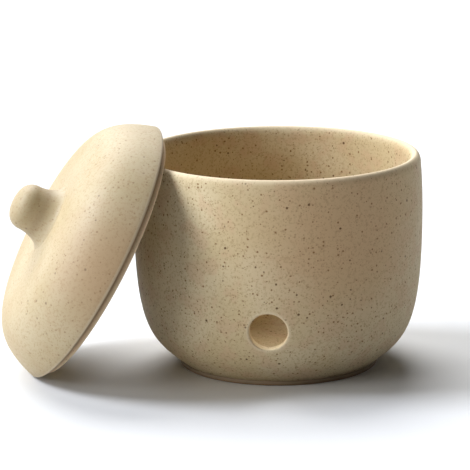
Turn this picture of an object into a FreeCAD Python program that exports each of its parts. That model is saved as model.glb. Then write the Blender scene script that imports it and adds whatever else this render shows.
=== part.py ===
"""Stoneware garlic keeper: a round vented pot and the domed lid that leans against it.

The pot stands on its foot ring at the origin, +Z up, with its vents on the Y axis.  The lid
is built upright about its own axis and then laid against the pot's lip, with its edge on the
table.  All lengths are millimetres and all angles are degrees.
"""
import FreeCAD, Part
import math
import os

# Pot, outside
POT_RADIUS = 67.5            # at its widest
POT_HEIGHT = 100.0           # table to the top of the lip
LIP_INSET = 0.9              # how far the lip draws in from the widest radius
LIP_WIDTH = 5.1              # thickness of the rounded lip
LIP_RISE = 4.6               # height of the rounding on top of the wall
SHOULDER_HEIGHT = 22.6       # from the widest level up to where the lip starts to round
BELLY_START_ANGLE = 39.0     # slope of the belly where it leaves the foot
BELLY_START_FULLNESS = 0.83  # pull of the curve at the foot, as a share of the belly's overhang
BELLY_WIDEST_FULLNESS = 0.81  # pull of the curve at the widest level, as a share of its rise

# Pot, foot ring
FOOT_RADIUS = 46.4
FOOT_HEIGHT = 2.2
FOOT_WIDTH = 6.4
FOOT_EDGE_ROUND = 0.7
FOOT_STEP = 0.4              # the belly starts this far inside the foot's outer face

# Pot, inside
FLOOR_THICKNESS = 6.0
WELL_CORNER = 9.0            # from the belly's start radius in to the flat floor's edge
WELL_FLOOR_FULLNESS = 0.70   # pull of the inner curve along the floor
WELL_WALL_FULLNESS = 0.82    # pull of the inner curve down the wall

# Vents
VENT_DIAMETER = 17.5
VENT_HEIGHT = 30.0           # centre above the table
VENT_COUNT = 2               # evenly spaced, the first one at the front (-Y)

# Lid
LID_OVERLAP = 3.0            # the lid's edge beyond the mouth
LID_HEIGHT = 26.75           # underside to the flat pad under the knob
LID_WALL = 5.0
LID_EDGE_ROUND = 1.0
DOME_EDGE_ANGLE = 16.3       # how far the dome leans in from upright at its edge
DOME_EDGE_FULLNESS = 0.98    # pull of the curve at the edge, as a share of the dome's rise
DOME_TOP_FULLNESS = 0.55     # pull of the curve at the pad, as a share of the dome's run
HOLLOW_EDGE_ANGLE = 10.0     # the same three for the hollow under the dome
HOLLOW_EDGE_FULLNESS = 0.9
HOLLOW_TOP_FULLNESS = 0.60
PAD_MARGIN = 1.0             # flat pad beyond the knob

# Locating ring under the lid
RING_PLAY = 0.6              # radial play in the mouth
RING_DEPTH = 3.3
RING_ROOT_WIDTH = 3.6        # where it joins the dome; its inner side slopes out to the tip
RING_TIP_WIDTH = 1.8         # fully rounded

# Knob
KNOB_HEIGHT = 18.9
KNOB_RADIUS = 10.85          # grip
KNOB_BASE_RADIUS = 16.0
KNOB_BASE_EDGE = 0.4
KNOB_SKIRT_HEIGHT = 11.0     # flare from the base up to the grip
KNOB_FLARE_RUN = 3.0         # pull of the flare in along the pad
KNOB_FLARE_RISE = 0.9        # pull of the flare up from the pad
KNOB_GRIP_PULL = 4.6         # pull of the flare down from the grip
KNOB_CROWN_FULLNESS = 0.65
KNOB_OFFSET = 4.8            # luted on by eye, a little off the lid's axis

# How the lid leans
LEAN_ANGLE = 61.1            # lid axis from upright
LEAN_AZIMUTH = 14.5          # round from -X towards the front
LEAN_CLEARANCE = 0.3         # gap left where the lid leans on the lip

ROUND_PULL = 0.5523          # pull that makes a cubic curve a quarter circle
SEARCH_TOLERANCE = 0.001
SEARCH_STEPS = 40

belly_start_radius = FOOT_RADIUS - FOOT_STEP
foot_inner_radius = FOOT_RADIUS - FOOT_WIDTH
lip_outer_radius = POT_RADIUS - LIP_INSET
mouth_radius = lip_outer_radius - LIP_WIDTH
lip_start_height = POT_HEIGHT - LIP_RISE
widest_height = lip_start_height - SHOULDER_HEIGHT
floor_top = FOOT_HEIGHT + FLOOR_THICKNESS
well_floor_radius = belly_start_radius - WELL_CORNER

lid_radius = mouth_radius + LID_OVERLAP
ring_radius = mouth_radius - RING_PLAY
ring_inner_radius = ring_radius - RING_ROOT_WIDTH
pad_radius = KNOB_BASE_RADIUS + KNOB_OFFSET + PAD_MARGIN
crown_rise = KNOB_HEIGHT - KNOB_SKIRT_HEIGHT


def at(radius, height):
    """A point of a profile in the XZ plane."""
    return FreeCAD.Vector(radius, 0, height)


def line(start, end):
    return Part.LineSegment(start, end).toShape()


def bend(start, start_pull, end_pull, end):
    """A cubic curve from start to end, pulled towards start + start_pull and end + end_pull."""
    curve = Part.BezierCurve()
    curve.setPoles([start, start + start_pull, end + end_pull, end])
    return curve.toShape()


def rounded(start, corner, end):
    """A quarter ellipse from start to end inside the given corner."""
    return bend(start, (corner - start) * ROUND_PULL, (corner - end) * ROUND_PULL, end)


def turned(edges):
    """The closed profile made of the edges, spun about the Z axis."""
    face = Part.Face(Part.Wire(edges))
    solid = face.revolve(FreeCAD.Vector(0, 0, 0), FreeCAD.Vector(0, 0, 1), 360)
    return Part.Solid(solid) if solid.ShapeType != "Solid" else solid


def belly_curve():
    """The outside of the belly, from the foot up to the widest level."""
    start = at(belly_start_radius, FOOT_HEIGHT)
    end = at(POT_RADIUS, widest_height)
    pull = BELLY_START_FULLNESS * (POT_RADIUS - belly_start_radius)
    slope = math.radians(BELLY_START_ANGLE)
    rise = BELLY_WIDEST_FULLNESS * (widest_height - FOOT_HEIGHT)
    return bend(start, at(pull * math.cos(slope), pull * math.sin(slope)), at(0, -rise), end)


def shoulder_curve():
    """The outside of the wall, from the widest level up to the lip."""
    start = at(POT_RADIUS, widest_height)
    end = at(lip_outer_radius, lip_start_height)
    third = SHOULDER_HEIGHT / 3
    return bend(start, at(0, third), at(LIP_INSET * 2 / 3, -third), end)


def lip_curves():
    """The rounded top of the wall, from the outside over the crest to the mouth."""
    crest = at(lip_outer_radius - LIP_WIDTH / 2, POT_HEIGHT)
    outer = rounded(at(lip_outer_radius, lip_start_height), at(lip_outer_radius, POT_HEIGHT), crest)
    inner = rounded(crest, at(mouth_radius, POT_HEIGHT), at(mouth_radius, lip_start_height))
    return [outer, inner]


def well_curves():
    """The inside of the pot, from the lip down the mouth and round to the flat floor."""
    land = line(at(mouth_radius, lip_start_height), at(mouth_radius, widest_height))
    depth = WELL_WALL_FULLNESS * (widest_height - floor_top)
    run = WELL_FLOOR_FULLNESS * (mouth_radius - well_floor_radius)
    well = bend(at(mouth_radius, widest_height), at(0, -depth), at(run, 0),
                at(well_floor_radius, floor_top))
    floor = line(at(well_floor_radius, floor_top), at(0, floor_top))
    return [land, well, floor]


def vent_drill(angle):
    """A cylinder through the wall at one vent, running outwards from the pot's axis."""
    outwards = FreeCAD.Vector(math.sin(angle), -math.cos(angle), 0)
    centre = FreeCAD.Vector(0, 0, VENT_HEIGHT)
    return Part.makeCylinder(VENT_DIAMETER / 2, 2 * POT_RADIUS, centre, outwards)


def make_pot_body():
    """The thrown pot: belly, wall, lip, well and floor, with the vents cut through the wall."""
    axis = line(at(0, floor_top), at(0, FOOT_HEIGHT))
    base = line(at(0, FOOT_HEIGHT), at(belly_start_radius, FOOT_HEIGHT))
    outside = [belly_curve(), shoulder_curve()] + lip_curves()
    body = turned(outside + well_curves() + [axis, base])
    for index in range(VENT_COUNT):
        body = body.cut(vent_drill(2 * math.pi * index / VENT_COUNT))
    return body.Solids[0]


def make_foot_ring():
    """The ring of clay that the pot stands on, with its lower edges rounded."""
    soft = FOOT_EDGE_ROUND
    return turned([
        line(at(foot_inner_radius, FOOT_HEIGHT), at(foot_inner_radius, soft)),
        rounded(at(foot_inner_radius, soft), at(foot_inner_radius, 0), at(foot_inner_radius + soft, 0)),
        line(at(foot_inner_radius + soft, 0), at(FOOT_RADIUS - soft, 0)),
        rounded(at(FOOT_RADIUS - soft, 0), at(FOOT_RADIUS, 0), at(FOOT_RADIUS, soft)),
        line(at(FOOT_RADIUS, soft), at(FOOT_RADIUS, FOOT_HEIGHT)),
        line(at(FOOT_RADIUS, FOOT_HEIGHT), at(foot_inner_radius, FOOT_HEIGHT)),
    ])


def dome_curve(edge, top, edge_angle, edge_fullness, top_fullness):
    """The side of a dome, from its edge up to where its top goes flat."""
    rise = edge_fullness * (top.z - edge.z)
    lean_in = rise * math.tan(math.radians(edge_angle))
    run = top_fullness * (edge.x - top.x)
    return bend(edge, at(-lean_in, rise), at(run, 0), top)


def make_lid_dome():
    """The domed shell of the lid, with its flat underside at height 0."""
    soft = LID_EDGE_ROUND
    hollow_edge = at(ring_inner_radius, 0)
    hollow_top = at(pad_radius, LID_HEIGHT - LID_WALL)
    pad_edge = at(pad_radius, LID_HEIGHT)
    outside = dome_curve(at(lid_radius, soft), pad_edge,
                         DOME_EDGE_ANGLE, DOME_EDGE_FULLNESS, DOME_TOP_FULLNESS)
    hollow = dome_curve(hollow_edge, hollow_top,
                        HOLLOW_EDGE_ANGLE, HOLLOW_EDGE_FULLNESS, HOLLOW_TOP_FULLNESS)
    return turned([
        line(hollow_edge, at(lid_radius - soft, 0)),
        rounded(at(lid_radius - soft, 0), at(lid_radius, 0), at(lid_radius, soft)),
        outside,
        line(pad_edge, at(0, LID_HEIGHT)),
        line(at(0, LID_HEIGHT), at(0, hollow_top.z)),
        line(at(0, hollow_top.z), hollow_top),
        hollow,
    ])


def make_locating_ring():
    """The ring under the lid that drops into the mouth and keeps the lid centred."""
    soft = RING_TIP_WIDTH / 2
    tip_middle = ring_radius - soft
    tip_inside = ring_radius - RING_TIP_WIDTH
    tip = -RING_DEPTH
    return turned([
        line(at(ring_inner_radius, 0), at(tip_inside, tip + soft)),
        rounded(at(tip_inside, tip + soft), at(tip_inside, tip), at(tip_middle, tip)),
        rounded(at(tip_middle, tip), at(ring_radius, tip), at(ring_radius, tip + soft)),
        line(at(ring_radius, tip + soft), at(ring_radius, 0)),
        line(at(ring_radius, 0), at(ring_inner_radius, 0)),
    ])


def make_knob():
    """The tapered knob with its rounded crown, standing on the pad, slightly off the axis."""
    base = at(KNOB_BASE_RADIUS, KNOB_BASE_EDGE)
    grip = at(KNOB_RADIUS, KNOB_SKIRT_HEIGHT)
    top = at(0, KNOB_HEIGHT)
    knob = turned([
        line(at(0, 0), at(KNOB_BASE_RADIUS, 0)),
        line(at(KNOB_BASE_RADIUS, 0), base),
        bend(base, at(-KNOB_FLARE_RUN, KNOB_FLARE_RISE), at(0, -KNOB_GRIP_PULL), grip),
        bend(grip, at(0, KNOB_CROWN_FULLNESS * crown_rise), at(KNOB_CROWN_FULLNESS * KNOB_RADIUS, 0), top),
        line(top, at(0, 0)),
    ])
    knob.translate(at(KNOB_OFFSET, LID_HEIGHT))
    return knob


def lean_placement(reach):
    """The lid's place when its axis point is this far out from the pot's axis.

    The height sets the lowest point of the lid's rounded edge on the table.
    """
    lean = math.radians(LEAN_ANGLE)
    azimuth = math.radians(LEAN_AZIMUTH)
    rim = lid_radius - LID_EDGE_ROUND
    height = rim * math.sin(lean) + LID_EDGE_ROUND * (1 - math.cos(lean))
    place = FreeCAD.Vector(-reach * math.cos(azimuth), -reach * math.sin(azimuth), height)
    turn = (FreeCAD.Rotation(FreeCAD.Vector(0, 0, 1), LEAN_AZIMUTH)
            * FreeCAD.Rotation(FreeCAD.Vector(0, 1, 0), -LEAN_ANGLE))
    return FreeCAD.Placement(place, turn)


def moved(shape, placement):
    copy = shape.copy()
    copy.transformShape(placement.toMatrix(), True)
    return copy


def lean_reach(pot_body, resting_pieces):
    """Slide the lid towards the pot until its gap to the lip is the named clearance."""
    def gap(reach):
        place = lean_placement(reach)
        return min(moved(piece, place).distToShape(pot_body)[0] for piece in resting_pieces)

    outer = POT_RADIUS + lid_radius
    outer_gap = gap(outer)
    inner = outer - outer_gap / 2
    for _ in range(SEARCH_STEPS):
        inner_gap = gap(inner)
        if abs(inner_gap - LEAN_CLEARANCE) < SEARCH_TOLERANCE:
            break
        slope = (outer_gap - inner_gap) / (outer - inner)
        step = (inner_gap - LEAN_CLEARANCE) / slope
        outer, outer_gap = inner, inner_gap
        inner -= min(step, inner_gap / 2) if step > 0 else step
    return inner


def main():
    pot_body = make_pot_body()
    dome = make_lid_dome()
    ring = make_locating_ring()
    reach = lean_reach(pot_body, [dome, ring])
    place = lean_placement(reach)
    nodes = {
        "pot_body": pot_body,
        "pot_foot_ring": make_foot_ring(),
        "lid_dome": moved(dome, place),
        "lid_locating_ring": moved(ring, place),
        "lid_knob": moved(make_knob(), place),
    }
    os.makedirs("parts", exist_ok=True)
    for name, shape in nodes.items():
        shape.exportStep(os.path.join("parts", name + ".step"))
        print(name, "volume", round(shape.Volume / 1000, 2), "cm3, valid", shape.isValid())
    print("lid centre", [round(value, 3) for value in place.Base])


main()
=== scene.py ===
"""Looks of a stoneware garlic keeper: a vented pot and its domed lid, which leans on the pot's lip."""
import math

import bmesh
import bpy
import numpy as np
from mathutils import Matrix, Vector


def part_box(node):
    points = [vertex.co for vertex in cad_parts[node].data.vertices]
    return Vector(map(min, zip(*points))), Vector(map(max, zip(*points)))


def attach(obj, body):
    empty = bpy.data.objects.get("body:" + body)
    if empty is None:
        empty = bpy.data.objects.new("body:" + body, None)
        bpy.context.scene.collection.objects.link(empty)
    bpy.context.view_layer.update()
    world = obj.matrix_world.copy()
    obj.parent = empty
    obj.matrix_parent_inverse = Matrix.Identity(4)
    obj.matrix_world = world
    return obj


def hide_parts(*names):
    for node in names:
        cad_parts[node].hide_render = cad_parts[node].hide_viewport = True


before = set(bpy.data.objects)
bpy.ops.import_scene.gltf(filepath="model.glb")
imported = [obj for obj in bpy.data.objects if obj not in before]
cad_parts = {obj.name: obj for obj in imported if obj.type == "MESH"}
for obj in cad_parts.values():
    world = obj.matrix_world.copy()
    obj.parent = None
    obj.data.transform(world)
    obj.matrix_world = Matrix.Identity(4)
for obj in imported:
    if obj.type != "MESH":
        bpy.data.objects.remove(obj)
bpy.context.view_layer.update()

# ---------------------------------------------------------------------------------------------
# Pot: one thrown wall of sandy stoneware clay.  A rounded belly rises to an upright wall and a
# rolled lip, and an air hole is cut through the wall at the front and at the back while the clay
# is leather-hard.  The whole pot is covered in a dry, warm beige glaze.
# ---------------------------------------------------------------------------------------------
MM = 0.001
POT_COLUMNS = 300             # quads round the pot; half of it and a quarter are whole numbers
LIP_INSET = 0.9 * MM          # how far the lip draws in from the widest radius
LIP_WIDTH = 5.1 * MM
LIP_RISE = 4.6 * MM
SHOULDER_HEIGHT = 22.6 * MM   # widest level up to where the lip starts to round
BELLY_START_ANGLE = math.radians(39)
BELLY_START_FULLNESS = 0.83
BELLY_WIDEST_FULLNESS = 0.81
BELLY_CORNER = 0.5 * MM       # small round where the belly starts on the foot
FOOT_STEP = 0.4 * MM          # the belly starts this far inside the foot's outer face
FLOOR_THICKNESS = 6.0 * MM
WELL_CORNER = 9.0 * MM
WELL_FLOOR_FULLNESS = 0.70
WELL_WALL_FULLNESS = 0.82
VENT_RADIUS = 8.75 * MM
VENT_HEIGHT = 30.0 * MM
VENT_EDGE = 1.0 * MM          # round that a wet finger leaves on the edge of a vent
VENT_HALF_COLUMNS = 14        # quads of the pot's grid that a vent's own rings take the place of
VENT_REACH = 15.5 * MM        # the same, up and down from the vent's centre
LIP_PALE_REACH = 1.4 * MM           # how far down from the crest the glaze is made paler: partly thinned glaze, partly painted highlight
VENT_BREAK_HIGHLIGHT = 0.45             # how much paler the glaze is made round a vent, of 1: partly thinned glaze, partly painted highlight
LIP_BREAK_HIGHLIGHT = 0.65              # the same, partly painted highlight, along the crest of the lip and the edge of the lid
FOOT_SHADE_REACH = 2.0 * MM         # how far up from the foot the belly is darkened brown: painted shade
FOOT_SHADE = 0.35             # and how much, of 1
POT_SHADE_AT = (36 * MM, -57 * MM, 75 * MM)  # middle of a browner patch on the pot's shaded front right: painted shade
POT_SHADE_REACH = 65 * MM
POT_SHADE = 0.9               # how much the painted shade browns the patch, of 1


def cubic(start, start_pull, end_pull, end, count):
    """A cubic curve through count points, its last point left off: the four corner points weighted
    by (1-t)^3, 3t(1-t)^2, 3t^2(1-t) and t^3.  A pull is measured from its own end of the curve."""
    t = np.linspace(0, 1, count, endpoint=False)[:, None]
    start, end = np.array(start), np.array(end)
    near, far = start + start_pull, end + end_pull
    return (1 - t) ** 3 * start + 3 * t * (1 - t) ** 2 * near + 3 * t ** 2 * (1 - t) * far + t ** 3 * end


def straight(start, end, count):
    """Evenly spaced points from start towards end, the last one left off."""
    t = np.linspace(0, 1, count, endpoint=False)[:, None]
    return np.array(start) * (1 - t) + np.array(end) * t


def quarter(start, corner, end, count):
    """A quarter of an ellipse from start towards end inside a corner: corner less the sine of the
    angle times one leg and the cosine times the other."""
    angle = np.linspace(0, math.pi / 2, count, endpoint=False)[:, None]
    start, corner, end = np.array(start), np.array(corner), np.array(end)
    return corner + (end - corner) * (1 - np.cos(angle)) + (start - corner) * (1 - np.sin(angle))


def turned(outline, columns):
    """An outline of (radius, height) points spun about the upright axis, which starts in front:
    x = radius * sin(angle), y = -radius * cos(angle), z = height."""
    angle = np.arange(columns) * 2 * math.pi / columns
    radius, height = outline[:, :1], outline[:, 1:]
    return np.stack([radius * np.sin(angle), -radius * np.cos(angle), height + 0 * angle], axis=-1)


def quads_between(index):
    """The quads of a grid of vertex numbers whose last column meets its first."""
    after = np.roll(index, -1, axis=1)
    return np.stack([index[:-1], after[:-1], after[1:], index[1:]], axis=-1)


def fan(pole, ring):
    """The triangles from one vertex to every edge of a closed ring of vertices."""
    return np.stack([np.full_like(ring, pole), ring, np.roll(ring, -1)], axis=-1)


def make_piece(name, points, faces, material, edge, painted_shade):
    """A smooth object from points in metres and lists of faces, with its faces turned outwards. For every
    point, edge holds how much paler its colour is made, partly where glaze broke over an edge and partly as
    painted highlight, and painted_shade how much painted shade darkens it."""
    mesh = bpy.data.meshes.new(name)
    mesh.from_pydata(points.tolist(), [], [face for group in faces for face in group.tolist()])
    work = bmesh.new()
    work.from_mesh(mesh)
    bmesh.ops.recalc_face_normals(work, faces=work.faces)
    work.to_mesh(mesh)
    work.free()
    mesh.shade_smooth()
    for label, values in (("edge_break_and_highlight", edge), ("painted_shade", painted_shade)):
        mesh.attributes.new(label, "FLOAT", "POINT").data.foreach_set("value", values)
    mesh.materials.append(material)
    piece = bpy.data.objects.new(name, mesh)
    bpy.context.scene.collection.objects.link(piece)
    return piece


class Signal:
    """A socket of a shader, so that sums of sockets and numbers are written as arithmetic."""

    def __init__(self, tree, socket=None):
        self.tree = tree
        self.socket = socket

    def node(self, kind, sockets=(), output=0, **settings):
        """Any node: its settings are set first, then the values or links of its sockets."""
        made = self.tree.nodes.new(kind)
        for name, value in settings.items():
            setattr(made, name, value)
        for name, value in dict(sockets).items():
            if isinstance(value, Signal):
                self.tree.links.new(value.socket, made.inputs[name])
            else:
                made.inputs[name].default_value = value
        return Signal(self.tree, made.outputs[output])

    def math(self, operation, other):
        return self.node("ShaderNodeMath", {0: self, 1: other}, operation=operation)

    def __add__(self, other):
        return self.math("ADD", other)

    def __sub__(self, other):
        return self.math("SUBTRACT", other)

    def __rsub__(self, other):
        return self.node("ShaderNodeMath", {0: other, 1: self}, operation="SUBTRACT")

    def __mul__(self, other):
        return self.math("MULTIPLY", other)

    __radd__ = __add__
    __rmul__ = __mul__

    def between(self, low, high):
        """0 below low, 1 above high and a smooth rise from one to the other."""
        return self.node("ShaderNodeMapRange", {"Value": self, "From Min": low, "From Max": high},
                         interpolation_type="SMOOTHSTEP")

    def tint(self, share, color):
        """This colour, moved towards another colour by a share."""
        return self.node("ShaderNodeMix", {0: share, 6: self, 7: color}, output=2, data_type="RGBA")


def shader(name):
    """A new material with its main shader, and a Signal that makes nodes in it."""
    material = bpy.data.materials.new(name)
    material.use_nodes = True
    surface = material.node_tree.nodes["Principled BSDF"]
    return material, surface, Signal(material.node_tree)


def noise(place, size, detail=2.0, roughness=0.5):
    """Soft clouds with lumps about as large as size, in metres, around one half."""
    return place.node("ShaderNodeTexNoise",
                      {"Vector": place, "Scale": 1 / size, "Detail": detail, "Roughness": roughness})


def specks(place, spacing, radius, share):
    """Round iron specks: 1 inside them.  One speck sits in each cell of a scatter, its radius
    shrinks with the cell's own random number, and only a share of the cells have one."""
    sockets = {"Vector": place, "Scale": 1 / spacing, "Randomness": 1.0}
    away = place.node("ShaderNodeTexVoronoi", sockets) * spacing
    chance = place.node("ShaderNodeSeparateColor",
                        {0: place.node("ShaderNodeTexVoronoi", sockets, output="Color")})
    size = chance.between(1 - share, 1.35 - share * 0.35) * radius
    return (size - away).between(-0.25 * radius, 0.3 * radius)


GLAZE_BEIGE = (0.595, 0.480, 0.280, 1)
GLAZE_PALE = (0.655, 0.550, 0.355, 1)     # where it pooled thicker
GLAZE_WARM = (0.590, 0.400, 0.250, 1)     # where the clay blushes through
GLAZE_SHADE_BROWN = (0.560, 0.378, 0.208, 1)  # painted shade: browner glaze for the warm shade on the sides away from the lamps
GLAZE_THIN_HIGHLIGHT = (0.800, 0.680, 0.480, 1)     # paler over an edge: partly glaze broken over it, partly painted highlight
PAINTED_SHADE_BROWN = (0.170, 0.100, 0.045, 1)        # painted shade: dark brown in grooves and hollows, under the belly and where a piece stands
SPECK_DARK = (0.115, 0.055, 0.018, 1)
SPECK_BROWN = (0.220, 0.115, 0.040, 1)
SPECK_SOFT = (0.360, 0.235, 0.115, 1)


def make_glaze(name, shift, tone=1.0, warmth=0.42, speckle=1.0, satin=0.0,
               shade_share=0.0, shade_at=(0, 0, 0), shade_reach=50 * MM):
    """Dry beige glaze: slow clouds of colour, warm patches, sandy grain, three sizes of iron speck that have
    bled a little, a paler tone on edges, partly where it broke over them and partly painted highlight, and
    dark brown painted shade where the painted_shade attribute says.  shift moves the pattern, tone scales the
    colours, and warmth and speckle are the strengths of the patches and the specks.  satin smooths the face.
    A soft patch round shade_at is made browner by the share shade_share: painted shade."""
    material, surface, start = shader(name)
    own = start.node("ShaderNodeTexCoord", output="Object")
    place = start.node("ShaderNodeMapping", {"Vector": own, "Location": shift})
    wobble = start.node("ShaderNodeTexNoise", {"Vector": place, "Scale": 1 / (0.9 * MM), "Detail": 1.0},
                        output="Color")
    bent = start.node("ShaderNodeVectorMath", {0: wobble, 1: (0.35 * MM,) * 3}, operation="MULTIPLY")
    speck_place = start.node("ShaderNodeVectorMath", {0: place, 1: bent}, operation="ADD")
    clouds = noise(place, 34 * MM, detail=3.0)
    patches = noise(place, 9 * MM, detail=3.0)
    sand = noise(place, 1.3 * MM, detail=4.0, roughness=0.75)
    bold = specks(speck_place, 4.7 * MM, 0.64 * MM, 0.75)
    small = specks(speck_place, 2.1 * MM, 0.50 * MM, 0.9)
    fine = specks(speck_place, 1.1 * MM, 0.36 * MM, 0.9)
    break_and_highlight = start.node("ShaderNodeAttribute", output="Fac", attribute_name="edge_break_and_highlight")
    shade_fac = start.node("ShaderNodeAttribute", output="Fac", attribute_name="painted_shade")
    away = start.node("ShaderNodeVectorMath", {0: own, 1: shade_at}, output="Value", operation="DISTANCE")
    shade_patch = (1 - away.between(0.15 * shade_reach, shade_reach)) * shade_share

    beige, pale, warm, shade_brown = [tuple(tone * part for part in color[:3]) + (1,)
                                  for color in (GLAZE_BEIGE, GLAZE_PALE, GLAZE_WARM, GLAZE_SHADE_BROWN)]
    color = start.node("ShaderNodeMix", {0: clouds.between(0.35, 0.65), 6: beige, 7: pale},
                       output=2, data_type="RGBA")
    color = color.tint(patches.between(0.47, 0.62) * warmth, warm)
    # painted shade: the browner patch round shade_at
    color = color.tint(shade_patch, shade_brown)
    color = color.tint(sand.between(0.50, 0.64) * 0.50, SPECK_SOFT)
    color = color.tint(fine * (0.72 * speckle), SPECK_SOFT)
    color = color.tint(small * (0.9 * speckle), SPECK_BROWN)
    color = color.tint(bold * (0.92 * speckle), SPECK_DARK)
    # paler on edges: partly thinned glaze, partly painted highlight
    color = color.tint(break_and_highlight, GLAZE_THIN_HIGHLIGHT)
    # painted shade: dark brown in grooves, hollows and near the foot
    color = color.tint(shade_fac, PAINTED_SHADE_BROWN)
    start.tree.links.new(color.socket, surface.inputs["Base Color"])

    rough = (0.50 - 0.12 * satin) + 0.10 * clouds + 0.12 * sand - 0.10 * bold
    start.tree.links.new(rough.socket, surface.inputs["Roughness"])
    relief = 0.5 * sand + 0.25 * patches - 0.6 * bold - 0.3 * small
    bump = start.node("ShaderNodeBump", {"Height": relief, "Distance": 0.10 * MM, "Strength": 0.6},
                      output="Normal")
    start.tree.links.new(bump.socket, surface.inputs["Normal"])
    surface.inputs["Specular IOR Level"].default_value = 0.20 + 0.30 * satin
    return material


def near(value, centre, width):
    """A bell of height 1 round centre: e to the minus square of the distance over the width."""
    return np.exp(-((value - centre) / width) ** 2)


pot_low, pot_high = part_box("pot_body")
foot_low, foot_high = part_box("pot_foot_ring")
pot_radius = (pot_high.x - pot_low.x) / 2
pot_height = pot_high.z
foot_radius = (foot_high.x - foot_low.x) / 2
foot_height = foot_high.z
belly_start = foot_radius - FOOT_STEP
lip_outer = pot_radius - LIP_INSET
mouth = lip_outer - LIP_WIDTH
lip_start = pot_height - LIP_RISE
widest = lip_start - SHOULDER_HEIGHT
floor_top = foot_height + FLOOR_THICKNESS
well_floor = belly_start - WELL_CORNER

belly_reach = BELLY_START_FULLNESS * (pot_radius - belly_start)
belly_pull = np.array([math.cos(BELLY_START_ANGLE), math.sin(BELLY_START_ANGLE)]) * belly_reach


def belly_curve(count):
    """The outside of the belly, from the foot up to the widest level."""
    return cubic((belly_start, foot_height), belly_pull,
                 (0, -BELLY_WIDEST_FULLNESS * (widest - foot_height)), (pot_radius, widest), count)


def well_curve(count):
    """The inside of the belly, from the widest level down to the flat floor."""
    return cubic((mouth, widest), (0, -WELL_WALL_FULLNESS * (widest - floor_top)),
                 (WELL_FLOOR_FULLNESS * (mouth - well_floor), 0), (well_floor, floor_top), count)


crest = (lip_outer - LIP_WIDTH / 2, pot_height)
underside = straight((0, foot_height), (belly_start - BELLY_CORNER, foot_height), 20)
belly = belly_curve(76)
shoulder = cubic((pot_radius, widest), (0, SHOULDER_HEIGHT / 3),
                 (LIP_INSET * 2 / 3, -SHOULDER_HEIGHT / 3), (lip_outer, lip_start), 20)
lip_outside = quarter((lip_outer, lip_start), (lip_outer, pot_height), crest, 12)
lip_inside = quarter(crest, (mouth, pot_height), (mouth, lip_start), 12)
land = straight((mouth, lip_start), (mouth, widest), 16)
well = well_curve(70)
floor = straight((well_floor, floor_top), (0, floor_top), 22)
pot_outline = np.vstack([underside, belly, shoulder, lip_outside, lip_inside, land, well, floor,
                         [(0, floor_top)]])

pot_rings = turned(pot_outline[1:-1], POT_COLUMNS)
pot_numbers = np.arange(len(pot_rings) * POT_COLUMNS).reshape(len(pot_rings), POT_COLUMNS)
pot_quads = quads_between(pot_numbers)


def ring_nearest(section, first_ring, height):
    """The ring nearest a height, in the section of the outline that begins at first_ring."""
    return first_ring + int(np.argmin(abs(section[:, 1] - height)))


belly_first = len(underside) - 1
well_first = len(pot_rings) - len(floor) - len(well) + 1
outer_low = ring_nearest(belly, belly_first, VENT_HEIGHT - VENT_REACH)
outer_high = ring_nearest(belly, belly_first, VENT_HEIGHT + VENT_REACH)
inner_high = ring_nearest(well, well_first, VENT_HEIGHT + VENT_REACH)
inner_low = inner_high + outer_high - outer_low


def border(block, left, right):
    """The vertex numbers round a block of the pot's grid, from its lower left corner rightwards."""
    across = np.arange(left, right)
    return np.concatenate([block[0, across], block[:-1, right],
                           block[-1, across[::-1] + 1], block[:0:-1, left]])


def depth_at(curve, x, z):
    """How far in front of the pot's axis a turned surface lies: the root of radius^2 - x^2."""
    order = np.argsort(curve[:, 1])
    return np.sqrt(np.interp(z, curve[order, 1], curve[order, 0]) ** 2 - x ** 2)


def vent_wall(outer_edge, inner_edge):
    """The rings of points of one vent, in its own frame: x to the right, depth outwards and z up.
    A ring slides over the outside from the border of the gap to a circle, rolls over the edge
    by a quarter turn, runs through the wall, rolls out again and slides to the inner border."""
    outer_curve, inner_curve = belly_curve(2000), well_curve(2000)
    slide = np.linspace(0, 1, 11)[1:, None]
    roll = np.linspace(0, math.pi / 2, 9)[1:, None]
    radius = VENT_RADIUS + VENT_EDGE * (1 - np.sin(roll))
    sunk = VENT_EDGE * (1 - np.cos(roll))

    def side(curve, edge, inwards):
        """The rings on one face of the wall, from its border to the end of the rounded edge."""
        angle = np.arctan2(edge[:, 2] - VENT_HEIGHT, edge[:, 0])
        circle_x = (VENT_RADIUS + VENT_EDGE) * np.cos(angle)
        circle_z = VENT_HEIGHT + (VENT_RADIUS + VENT_EDGE) * np.sin(angle)
        x = np.vstack([edge[:, 0] * (1 - slide) + circle_x * slide, radius * np.cos(angle)])
        z = np.vstack([edge[:, 2] * (1 - slide) + circle_z * slide,
                       VENT_HEIGHT + radius * np.sin(angle)])
        below = np.vstack([0 * slide, sunk])
        return np.stack([x, depth_at(curve, x, z) - inwards * below, z], axis=-1), below

    outside, outer_depth = side(outer_curve, outer_edge, 1)
    inside, inner_depth = side(inner_curve, inner_edge, -1)
    through = np.linspace(0, 1, 6)[1:-1, None, None]
    throat = outside[-1] * (1 - through) + inside[-1] * through
    rings = np.concatenate([outside, throat, inside[::-1]])
    away = np.hypot(rings[:, :, 0], rings[:, :, 2] - VENT_HEIGHT) - VENT_RADIUS
    below = np.concatenate([outer_depth, 2 * VENT_EDGE + 0 * through[:, 0], inner_depth[::-1]])
    breaks_and_highlights = near(np.maximum(away - VENT_EDGE / 2, 0) + np.maximum(below - VENT_EDGE / 2, 0), 0, VENT_EDGE)
    return rings, breaks_and_highlights


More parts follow.
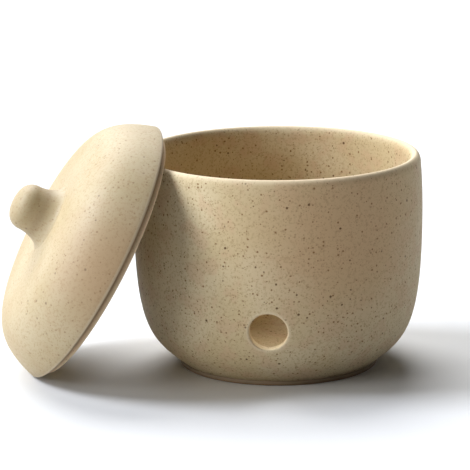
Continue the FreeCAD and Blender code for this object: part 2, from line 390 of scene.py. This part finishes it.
def make_pot(material):
    """The pot's grid with the quads at each vent left out, and the rings of each vent in the gaps."""
    points = [pot_rings.reshape(-1, 3)]
    breaks_and_highlights = [LIP_BREAK_HIGHLIGHT * near(points[0][:, 2], pot_height, LIP_PALE_REACH)]
    kept = np.ones(pot_quads.shape[:2], bool)
    faces = []
    count = len(points[0])
    for facing, middle in ((1, 0), (-1, POT_COLUMNS // 2)):
        left, right = middle - VENT_HALF_COLUMNS, middle + VENT_HALF_COLUMNS
        gap = np.arange(left, right)
        kept[outer_low:outer_high, gap] = False
        kept[inner_high:inner_low, gap] = False
        outer = border(pot_numbers[outer_low:outer_high + 1], left, right)
        inner = border(pot_numbers[inner_high:inner_low + 1][::-1], left, right)
        to_vent = np.array([facing, -facing, 1])
        rings, edge = vent_wall(points[0][outer] * to_vent, points[0][inner] * to_vent)
        numbers = count + np.arange(rings[:, :, 0].size).reshape(rings.shape[:2])
        faces.append(quads_between(np.vstack([outer, numbers, inner])).reshape(-1, 4))
        points.append((rings * to_vent).reshape(-1, 3))
        breaks_and_highlights.append(VENT_BREAK_HIGHLIGHT * edge.ravel())
        count += numbers.size
    poles = np.array([[0, 0, foot_height], [0, 0, floor_top]])
    faces += [pot_quads[kept], fan(count, pot_numbers[0]), fan(count + 1, pot_numbers[-1])]
    points = np.vstack(points + [poles])
    outside = np.hypot(points[:, 0], points[:, 1]) > belly_start - FOOT_SHADE_REACH
    return make_piece("pot_wall", points, faces, material, np.concatenate(breaks_and_highlights + [np.zeros(2)]),
                      FOOT_SHADE * outside * near(points[:, 2], foot_height, FOOT_SHADE_REACH))


pot_glaze = make_glaze("pot_glaze", (0, 0, 0), shade_share=POT_SHADE, shade_at=POT_SHADE_AT,
                       shade_reach=POT_SHADE_REACH)
pot = make_pot(pot_glaze)
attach(pot, "pot")
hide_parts("pot_body")

# ---------------------------------------------------------------------------------------------
# Foot: a low ring of the same clay, trimmed under the belly.  The pot stands on it, so its
# underside is wiped clean of glaze before firing and shows the bare, warm clay.
# ---------------------------------------------------------------------------------------------
FOOT_WIDTH = 6.4 * MM
FOOT_EDGE_ROUND = 0.7 * MM
FOOT_COLUMNS = 240
FOOT_SHADE_TONE = 0.46              # painted shade: the foot's colours, a darker copy of the clay under the belly, as a share of the plain tan
FOOT_SHADOW_REACH = 1.0 * MM           # how far up its edge a painted shadow reaches where it stands
FOOT_SHADOW = 0.9              # and how much, of 1
CLAY_TAN = (0.510, 0.395, 0.250, 1)
CLAY_WARM = (0.550, 0.400, 0.255, 1)
CLAY_GRIT = (0.280, 0.180, 0.100, 1)


def make_bare_clay(name, tone=1.0):
    """Bare fired clay: tan with warm patches, coarse grit and a dull, slightly rough face.  tone
    scales its colour."""
    material, surface, start = shader(name)
    place = start.node("ShaderNodeTexCoord", output="Object")
    patches = noise(place, 14 * MM, detail=3.0)
    grit = noise(place, 0.9 * MM, detail=3.0, roughness=0.75)
    grains = specks(place, 1.9 * MM, 0.36 * MM, 0.7)
    tan, warm = [tuple(tone * part for part in color[:3]) + (1,) for color in (CLAY_TAN, CLAY_WARM)]
    color = start.node("ShaderNodeMix", {0: patches.between(0.38, 0.62), 6: tan, 7: warm},
                       output=2, data_type="RGBA")
    color = color.tint(grit.between(0.5, 0.75) * 0.35, CLAY_GRIT)
    color = color.tint(grains * 0.6, CLAY_GRIT)
    breaks_and_highlights = start.node("ShaderNodeAttribute", output="Fac", attribute_name="edge_break_and_highlight")
    shade_fac = start.node("ShaderNodeAttribute", output="Fac", attribute_name="painted_shade")
    # painted highlight on the ring's tip
    color = color.tint(breaks_and_highlights, GLAZE_THIN_HIGHLIGHT)
    # painted shade at the ring's root and the foot's edge
    color = color.tint(shade_fac, PAINTED_SHADE_BROWN)
    start.tree.links.new(color.socket, surface.inputs["Base Color"])
    start.tree.links.new((0.72 + 0.14 * grit).socket, surface.inputs["Roughness"])
    bump = start.node("ShaderNodeBump", {"Height": grit - 0.5 * grains, "Distance": 0.12 * MM,
                                         "Strength": 0.8}, output="Normal")
    start.tree.links.new(bump.socket, surface.inputs["Normal"])
    surface.inputs["Specular IOR Level"].default_value = 0.3
    return material


def loop_of_turns(name, outline, columns, material, edge, painted_shade, place=lambda points: points):
    """A piece from a closed outline spun about an axis that it doesn't touch."""
    rings = turned(outline, columns)
    numbers = np.arange(rings[:, :, 0].size).reshape(rings.shape[:2])
    faces = quads_between(np.vstack([numbers, numbers[:1]])).reshape(-1, 4)
    return make_piece(name, place(rings.reshape(-1, 3)), [faces], material,
                      np.repeat(edge, columns), np.repeat(painted_shade, columns))


foot_inner = foot_radius - FOOT_WIDTH
soft = FOOT_EDGE_ROUND
foot_outline = np.vstack([
    straight((foot_inner, foot_height), (foot_inner, soft), 3),
    quarter((foot_inner, soft), (foot_inner, 0), (foot_inner + soft, 0), 6),
    straight((foot_inner + soft, 0), (foot_radius - soft, 0), 8),
    quarter((foot_radius - soft, 0), (foot_radius, 0), (foot_radius, soft), 6),
    straight((foot_radius, soft), (foot_radius, foot_height), 3),
    straight((foot_radius, foot_height), (foot_inner, foot_height), 8),
])
foot = loop_of_turns("pot_foot", foot_outline, FOOT_COLUMNS, make_bare_clay("foot_clay", tone=FOOT_SHADE_TONE),
                     np.zeros(len(foot_outline)), FOOT_SHADOW * near(foot_outline[:, 1], 0, FOOT_SHADOW_REACH))
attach(foot, "pot")
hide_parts("pot_foot_ring")

# ---------------------------------------------------------------------------------------------
# Lid: a thrown dome with a flat pad on top for the knob.  It leans with its edge on the table,
# so it is built about its own upright axis and then turned and carried to where it lies.
# ---------------------------------------------------------------------------------------------
LEAN_ANGLE = math.radians(61.1)      # lid axis from upright
LEAN_AZIMUTH = math.radians(14.5)    # round from -X towards the front
LID_COLUMNS = 280
LID_OVERLAP = 3.0 * MM               # the lid's edge beyond the mouth
LID_HEIGHT = 26.75 * MM              # underside to the flat pad under the knob
LID_WALL = 5.0 * MM
LID_EDGE_ROUND = 1.0 * MM
PAD_RADIUS = 21.8 * MM
DOME_EDGE_ANGLE = math.radians(16.3)
DOME_EDGE_FULLNESS = 0.98
DOME_TOP_FULLNESS = 0.55
HOLLOW_EDGE_ANGLE = math.radians(10)
HOLLOW_EDGE_FULLNESS = 0.9
HOLLOW_TOP_FULLNESS = 0.60
RING_PLAY = 0.6 * MM                 # radial play of the locating ring in the mouth
RING_ROOT_WIDTH = 3.6 * MM           # where the ring joins the dome
LID_EDGE_PALE_REACH = 0.5 * MM                 # how far from the lid's edge the glaze is made paler: partly thinned glaze, partly painted highlight
# painted shade: a browner patch on the lid's shaded side, round this point and this far out
LID_SHADE_AT = (-67 * MM, -80 * MM, 60 * MM)
LID_SHADE_REACH = 42 * MM
LID_SHADE = 0.85                     # how much the painted shade browns it, of 1
LID_SHIFT = (0.31, 0.17, 0.23)       # how far the glaze's pattern is moved, in metres
LID_SHADE_TONE = 0.78                      # painted shade: the lid's colours, a darker copy of the pot's glaze, as a share of the pot's
LID_SPECKLE = 0.62                   # strength of its specks, as a share of the pot's
LID_SATIN = 0.7                      # how smooth it fired, of 1
GROOVE_SHADE = 2.1 * MM              # how far painted shade reaches from the middle of the bare rim

lid_radius = mouth + LID_OVERLAP
ring_radius = mouth - RING_PLAY
ring_inner = ring_radius - RING_ROOT_WIDTH

lean = Matrix.Rotation(LEAN_AZIMUTH, 3, "Z") @ Matrix.Rotation(-LEAN_ANGLE, 3, "Y")
lid_turn = np.array(lean)
lid_axis = lid_turn[:, 2]
dome_low, dome_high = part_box("lid_dome")

# The dome's box touches its rounded edge on its right, at its back and on the table.  Along each
# of those directions the edge reaches from the lid's centre by this much.
touching = np.array([1, 1, -1])
box_corner = np.array([dome_high.x, dome_high.y, dome_low.z])
along = touching * lid_axis
edge_reach = LID_EDGE_ROUND * (along + 1) + (lid_radius - LID_EDGE_ROUND) * np.sqrt(1 - along ** 2)
lid_centre = box_corner - touching * edge_reach


def on_lid(points):
    """Points given about the lid's own axis, turned and carried to where the lid leans."""
    return points @ lid_turn.T + lid_centre


def dome_curve(edge, top, edge_angle, edge_fullness, top_fullness, count):
    """The side of a dome, from its edge up to where its top goes flat."""
    rise = edge_fullness * (top[1] - edge[1])
    run = top_fullness * (edge[0] - top[0])
    return cubic(edge, (-rise * math.tan(edge_angle), rise), (run, 0), top, count)


def body_of_turns(name, outline, columns, material, edge, painted_shade, place):
    """A piece from an outline that starts and ends on the axis it is spun about."""
    rings = turned(outline[1:-1], columns)
    numbers = np.arange(rings[:, :, 0].size).reshape(rings.shape[:2])
    poles = np.array([[0, 0, outline[0, 1]], [0, 0, outline[-1, 1]]])
    faces = [quads_between(numbers).reshape(-1, 4),
             fan(numbers.size, numbers[0]), fan(numbers.size + 1, numbers[-1])]
    edge, painted_shade = [np.append(np.repeat(part[1:-1], columns), [0, 0]) for part in (edge, painted_shade)]
    return make_piece(name, place(np.vstack([rings.reshape(-1, 3), poles])), faces, material, edge, painted_shade)


soft = LID_EDGE_ROUND
hollow_top = LID_HEIGHT - LID_WALL
dome = dome_curve((lid_radius, soft), (PAD_RADIUS, LID_HEIGHT),
                  DOME_EDGE_ANGLE, DOME_EDGE_FULLNESS, DOME_TOP_FULLNESS, 80)
hollow = dome_curve((ring_inner, 0), (PAD_RADIUS, hollow_top),
                    HOLLOW_EDGE_ANGLE, HOLLOW_EDGE_FULLNESS, HOLLOW_TOP_FULLNESS, 60)
dome_outline = np.vstack([
    straight((ring_inner, 0), (lid_radius - soft, 0), 8),
    quarter((lid_radius - soft, 0), (lid_radius, 0), (lid_radius, soft), 10),
    dome,
    straight((PAD_RADIUS, LID_HEIGHT), (0, LID_HEIGHT), 12),
    [(0, LID_HEIGHT)],
])[::-1]
dome_outline = np.vstack([dome_outline[:-1], hollow, straight((PAD_RADIUS, hollow_top), (0, hollow_top), 12),
                          [(0, hollow_top)]])
edge_middle = np.array([lid_radius, 0.8 * soft])
from_edge = np.hypot(*(dome_outline - edge_middle).T)
lid_glaze = make_glaze("lid_glaze", LID_SHIFT, tone=LID_SHADE_TONE, warmth=0.15, speckle=LID_SPECKLE,
                       satin=LID_SATIN, shade_share=LID_SHADE, shade_at=LID_SHADE_AT, shade_reach=LID_SHADE_REACH)
from_groove = np.hypot(*(dome_outline - ((ring_radius + lid_radius - soft) / 2, 0)).T)
lid = body_of_turns("lid_shell", dome_outline, LID_COLUMNS, lid_glaze,
                    LIP_BREAK_HIGHLIGHT * near(from_edge, 0, LID_EDGE_PALE_REACH), near(from_groove, 0, GROOVE_SHADE), on_lid)
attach(lid, "lid")
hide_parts("lid_dome")

# ---------------------------------------------------------------------------------------------
# Locating ring: a low ring of clay luted under the lid's edge.  It drops into the pot's mouth.
# It is left unglazed so that the lid doesn't fire fast to the pot, and its tip is worn smooth.
# ---------------------------------------------------------------------------------------------
RING_DEPTH = 3.3 * MM
RING_TIP_WIDTH = 1.8 * MM            # fully rounded; the inner side slopes out to it
RING_SEAT = 0.2 * MM                 # the ring's clay is pressed this far into the lid's
ROOT_SHADE = 1.7 * MM                # how far from its root the ring is darkened: painted shade
RING_LIT_TONE = 1.55                     # painted light: the ring's colours, a paler copy of the clay in the shade under the lid, as a share of the plain tan
TIP_HIGHLIGHT_REACH = 0.5 * MM                  # how far from the middle of its tip the ring gets a painted highlight
TIP_HIGHLIGHT = 0.5                      # and how much, of 1

soft = RING_TIP_WIDTH / 2
tip = -RING_DEPTH
tip_inside = ring_radius - RING_TIP_WIDTH
ring_outline = np.vstack([
    straight((ring_inner, RING_SEAT), (tip_inside, tip + soft), 6),
    quarter((tip_inside, tip + soft), (tip_inside, tip), (tip_inside + soft, tip), 8),
    quarter((ring_radius - soft, tip), (ring_radius, tip), (ring_radius, tip + soft), 8),
    straight((ring_radius, tip + soft), (ring_radius, RING_SEAT), 9),
    straight((ring_radius, RING_SEAT), (ring_inner, RING_SEAT), 5),
])
tip_edge = np.array([ring_radius - 0.4 * soft, tip + 0.4 * soft])
from_tip = np.hypot(*(ring_outline - tip_edge).T)
ring = loop_of_turns("lid_ring", ring_outline, LID_COLUMNS, make_bare_clay("ring_clay", tone=RING_LIT_TONE),
                     TIP_HIGHLIGHT * near(from_tip, 0, TIP_HIGHLIGHT_REACH), near(ring_outline[:, 1], 0, ROOT_SHADE), on_lid)
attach(ring, "lid")
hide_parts("lid_locating_ring")

# ---------------------------------------------------------------------------------------------
# Knob: a solid lump of clay thrown on the lid.  Its skirt spreads out on the pad, narrows to the
# grip and ends in a soft crown.  It stands a little off the lid's middle, as it was set by eye.
# ---------------------------------------------------------------------------------------------
KNOB_HEIGHT = 18.9 * MM
KNOB_RADIUS = 10.85 * MM             # grip
KNOB_BASE_RADIUS = 16.0 * MM
KNOB_SKIRT_HEIGHT = 11.0 * MM        # flare from the base up to the grip
KNOB_FLARE_RUN = 3.0 * MM            # pull of the flare in along the pad
KNOB_FLARE_RISE = 0.6 * MM           # pull of the flare up from the pad
KNOB_GRIP_PULL = 4.6 * MM            # pull of the flare down from the grip
KNOB_CROWN_FULLNESS = 0.65
KNOB_SEAT = 0.3 * MM                 # the knob's clay is pressed this far into the lid's
KNOB_OFFSET = 4.8 * MM
KNOB_NECK = 6.5 * MM                 # height of the hollow of the flare
KNOB_SHADE_REACH = 2.4 * MM                 # how far up and down from there the glaze is darkened: painted shade
KNOB_SHADE = 0.3                    # and how much, of 1
# painted shade: the knob's colours, a darker copy of the pot's glaze, as a share of the pot's
KNOB_SHADE_TONE = 0.72
KNOB_COLUMNS = 160

crown_rise = KNOB_HEIGHT - KNOB_SKIRT_HEIGHT
knob_outline = np.vstack([
    straight((0, -KNOB_SEAT), (KNOB_BASE_RADIUS, -KNOB_SEAT), 10),
    straight((KNOB_BASE_RADIUS, -KNOB_SEAT), (KNOB_BASE_RADIUS, 0), 2),
    cubic((KNOB_BASE_RADIUS, 0), (-KNOB_FLARE_RUN, KNOB_FLARE_RISE),
          (0, -KNOB_GRIP_PULL), (KNOB_RADIUS, KNOB_SKIRT_HEIGHT), 34),
    cubic((KNOB_RADIUS, KNOB_SKIRT_HEIGHT), (0, KNOB_CROWN_FULLNESS * crown_rise),
          (KNOB_CROWN_FULLNESS * KNOB_RADIUS, 0), (0, KNOB_HEIGHT), 44),
    [(0, KNOB_HEIGHT)],
])


def on_pad(points):
    """Points about the knob's own axis, stood on the lid's pad and off its middle."""
    return on_lid(points + (KNOB_OFFSET, 0, LID_HEIGHT))


knob_glaze = make_glaze("knob_glaze", LID_SHIFT, tone=KNOB_SHADE_TONE, warmth=0.1, speckle=LID_SPECKLE,
                        satin=LID_SATIN)
knob_neck_shade = KNOB_SHADE * near(knob_outline[:, 1], KNOB_NECK, KNOB_SHADE_REACH)
knob = body_of_turns("knob", knob_outline, KNOB_COLUMNS, knob_glaze, 0 * knob_neck_shade, knob_neck_shade, on_pad)
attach(knob, "lid")
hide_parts("lid_knob")

# ---------------------------------------------------------------------------------------------
# Studio: a white table that runs out of sight, a soft lamp high on the left, a low one in front on
# the left and a wide one high behind.  The camera and reflections see plain white all round.
# ---------------------------------------------------------------------------------------------
TABLE_HALF = 30.0
TABLE_WHITE = (0.84, 0.85, 0.86, 1)    # as the camera and reflections see it
TABLE_BOUNCE = (0.58, 0.58, 0.58, 1)   # as the light that it throws back on the object sees it
AMBIENT = 0.05                         # light from all round, of 1
LAMPS = {                              # strength, degrees of spread, azimuth from +X and elevation, colour
    "high_left": (2.62, 26, 182, 42, (0.96, 1.00, 1.08)),
    "low_left": (2.12, 40, 209, 12, (1.00, 1.00, 1.00)),
    "high_back": (2.95, 46, 112, 51, (1.00, 1.00, 1.00)),
}
CAMERA_PLACE = (0.0973, -1.3451, 0.3713)
CAMERA_HEADING = math.radians(94.996)
CAMERA_PITCH = math.radians(12.983)
CAMERA_ROLL = -0.0066
CAMERA_LENS = 226.2                    # in mm, on a sensor 36 mm wide


def seen_directly(start):
    """1 for what the camera sees, itself or in a reflection or through glass, and 0 for the rest."""
    camera_ray = start.node("ShaderNodeLightPath", output="Is Camera Ray")
    glossy_ray = start.node("ShaderNodeLightPath", output="Is Glossy Ray")
    glass_ray = start.node("ShaderNodeLightPath", output="Is Transmission Ray")
    return (camera_ray + glossy_ray + glass_ray).between(0, 1)


table_mesh = bpy.data.meshes.new("table_top")
table_corners = [(x * TABLE_HALF, y * TABLE_HALF, 0) for x, y in ((-1, -1), (1, -1), (1, 1), (-1, 1))]
table_mesh.from_pydata(table_corners, [], [(0, 1, 2, 3)])
table = bpy.data.objects.new("table_top", table_mesh)
bpy.context.scene.collection.objects.link(table)
table_material, table_surface, start = shader("table_white")
shown = seen_directly(start)
white = start.node("ShaderNodeMix", {0: shown, 6: TABLE_BOUNCE, 7: TABLE_WHITE}, output=2, data_type="RGBA")
start.tree.links.new(white.socket, table_surface.inputs["Base Color"])
table_surface.inputs["Roughness"].default_value = 0.9
table_surface.inputs["Specular IOR Level"].default_value = 0.0
table_mesh.materials.append(table_material)

world = bpy.data.worlds.new("studio")
world.use_nodes = True
bpy.context.scene.world = world
sky = Signal(world.node_tree)
background = world.node_tree.nodes["Background"]
background.inputs["Color"].default_value = (1, 1, 1, 1)
strength = AMBIENT + (1 - AMBIENT) * seen_directly(sky)
sky.tree.links.new(strength.socket, background.inputs["Strength"])

for name, (energy, spread, azimuth, elevation, color) in LAMPS.items():
    lamp = bpy.data.lights.new(name, "SUN")
    lamp.energy = energy
    lamp.color = color
    lamp.angle = math.radians(spread)
    light = bpy.data.objects.new(name, lamp)
    light.rotation_euler = (0, math.radians(90 - elevation), math.radians(azimuth))
    bpy.context.scene.collection.objects.link(light)

heading = np.array([math.cos(CAMERA_HEADING), math.sin(CAMERA_HEADING), 0])
forward = heading * math.cos(CAMERA_PITCH) - np.array([0, 0, math.sin(CAMERA_PITCH)])
level = np.array([heading[1], -heading[0], 0])
above = np.cross(level, forward)
right = level * math.cos(CAMERA_ROLL) + above * math.sin(CAMERA_ROLL)
up = above * math.cos(CAMERA_ROLL) - level * math.sin(CAMERA_ROLL)
camera_data = bpy.data.cameras.new("camera")
camera_data.lens = CAMERA_LENS
camera_data.sensor_width = 36
camera = bpy.data.objects.new("camera", camera_data)
stand = Matrix(np.stack([right, up, -forward], axis=1).tolist()).to_4x4()
stand.translation = CAMERA_PLACE
camera.matrix_world = stand
bpy.context.scene.collection.objects.link(camera)
bpy.context.scene.camera = camera
bpy.context.scene.view_settings.view_transform = "Standard"
